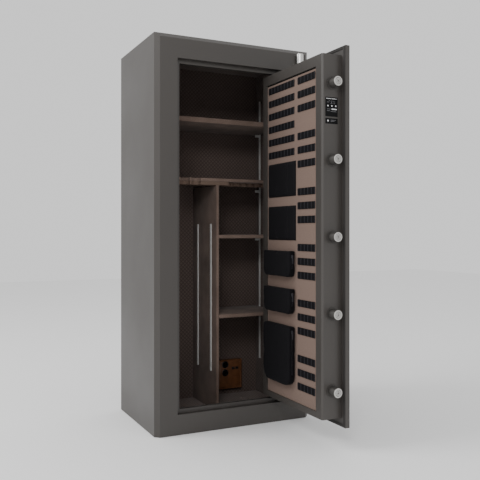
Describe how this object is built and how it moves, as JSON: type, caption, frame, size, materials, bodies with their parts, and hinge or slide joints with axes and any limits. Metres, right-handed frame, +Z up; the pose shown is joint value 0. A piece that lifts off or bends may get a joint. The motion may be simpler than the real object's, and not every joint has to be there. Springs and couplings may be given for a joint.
{
  "type": "gun safe",
  "caption": "Tall fire-lined gun safe, door open a quarter turn, with round locking bolts, shelves, barrel rack and a door panel of webbing, holsters and pouches.",
  "frame": {"origin": "centre of the cabinet's footprint on the floor, midway between the four anchor holes", "axes": "+X to the right of someone who faces the safe, +Y to the rear, +Z up"},
  "size_m": [0.661, 0.8954, 1.5],
  "materials": {
    "black_oxide": "black, semi-matte",
    "black_plastic": "moulded",
    "black_webbing": "black woven nylon",
    "bronze": "sintered bronze",
    "cabinet_paint": "satin baked enamel, dark bronze grey",
    "chrome": "polished",
    "covered_board": "taupe fabric over board",
    "fabric_lining": "brown ribbed marine fabric",
    "fireboard": "bare mineral board",
    "label_film": "black film with plain white marks",
    "outlet_paint": "copper brown enamel",
    "panel_fabric": "tan woven fabric",
    "satin_steel": "turned and polished",
    "seal_strip": "matte strip",
    "zinc_steel": "zinc plated, satin"
  },
  "bodies": {
    "cabinet": {"bottom_panel": "cabinet_paint", "divider": "covered_board", "fireboard": "fireboard", "frame_stops": "cabinet_paint", "front_header": "cabinet_paint", "front_jamb_left": "cabinet_paint", "front_jamb_right": "cabinet_paint", "front_sill": "cabinet_paint", "hinge_barrels": "satin_steel", "hinge_brackets": "zinc_steel", "lining_ceiling": "fabric_lining", "lining_floor": "fabric_lining", "lining_left": "fabric_lining", "lining_rear": "fabric_lining", "lining_right": "fabric_lining", "lower_shelf": "covered_board", "middle_shelf": "covered_board", "outlet_box": "outlet_paint", "outlet_sockets": "black_plastic", "rack_board": "covered_board", "rack_strips": "covered_board", "rear_panel": "cabinet_paint", "shelf_clips": "zinc_steel", "shelf_standards": "zinc_steel", "side_panel_left": "cabinet_paint", "side_panel_right": "cabinet_paint", "top_panel": "cabinet_paint", "upper_shelf": "covered_board"},
    "door": {"door_plate": "cabinet_paint", "door_case": "cabinet_paint", "door_fireboard": "fireboard", "door_seal": "seal_strip", "inner_board": "covered_board", "fabric_panel": "panel_fabric", "webbing_left": "black_webbing", "webbing_right": "black_webbing", "holster_panels": "black_webbing", "pouch_upper": "black_webbing", "pouch_middle": "black_webbing", "pouch_lower": "black_webbing", "rating_labels": "label_film", "hinge_pins": "satin_steel", "thrust_washer": "bronze", "bolt_collars": "black_oxide", "lock_case": "zinc_steel", "dial_ring": "black_oxide", "handle_bushing": "black_oxide"},
    "boltwork": {"locking_bolts": "satin_steel", "bolt_carriage": "zinc_steel", "drive_rack": "zinc_steel"},
    "handle": {"handle_hub": "chrome", "handle_spokes": "chrome", "handle_knobs": "chrome", "handle_spindle": "zinc_steel", "drive_pinion": "zinc_steel"},
    "dial": {"dial": "chrome", "dial_spindle": "zinc_steel", "wheel_pack": "bronze"},
    "lock_bolt": {"lock_bolt": "zinc_steel"}
  },
  "joints": [
    {"name": "door_swing", "type": "hinge", "parent": "cabinet", "child": "door", "pos_m": [0.2088, -0.2036, 0.742], "axis": [0, 0, 1], "range_deg": [-90, 18]},
    {"name": "bolt_slide", "type": "slide", "parent": "door", "child": "boltwork", "axis": [0, 1, 0], "range_m": [0, 0.0376]},
    {"name": "handle_turn", "type": "hinge", "parent": "door", "child": "handle", "pos_m": [0.26, -0.4434, 0.742], "axis": [-1, 0, 0], "range_deg": [0, 90]},
    {"name": "dial_turn", "type": "hinge", "parent": "door", "child": "dial", "pos_m": [0.26, -0.4434, 0.96], "axis": [-1, 0, 0], "continuous": true},
    {"name": "lock_bolt_slide", "type": "slide", "parent": "door", "child": "lock_bolt", "axis": [0, -1, 0], "range_m": [0, 0.008]}
  ],
  "couplings": [
    {"joint": "handle_turn", "follows": "bolt_slide", "rad_per_m": 41.667}
  ]
}
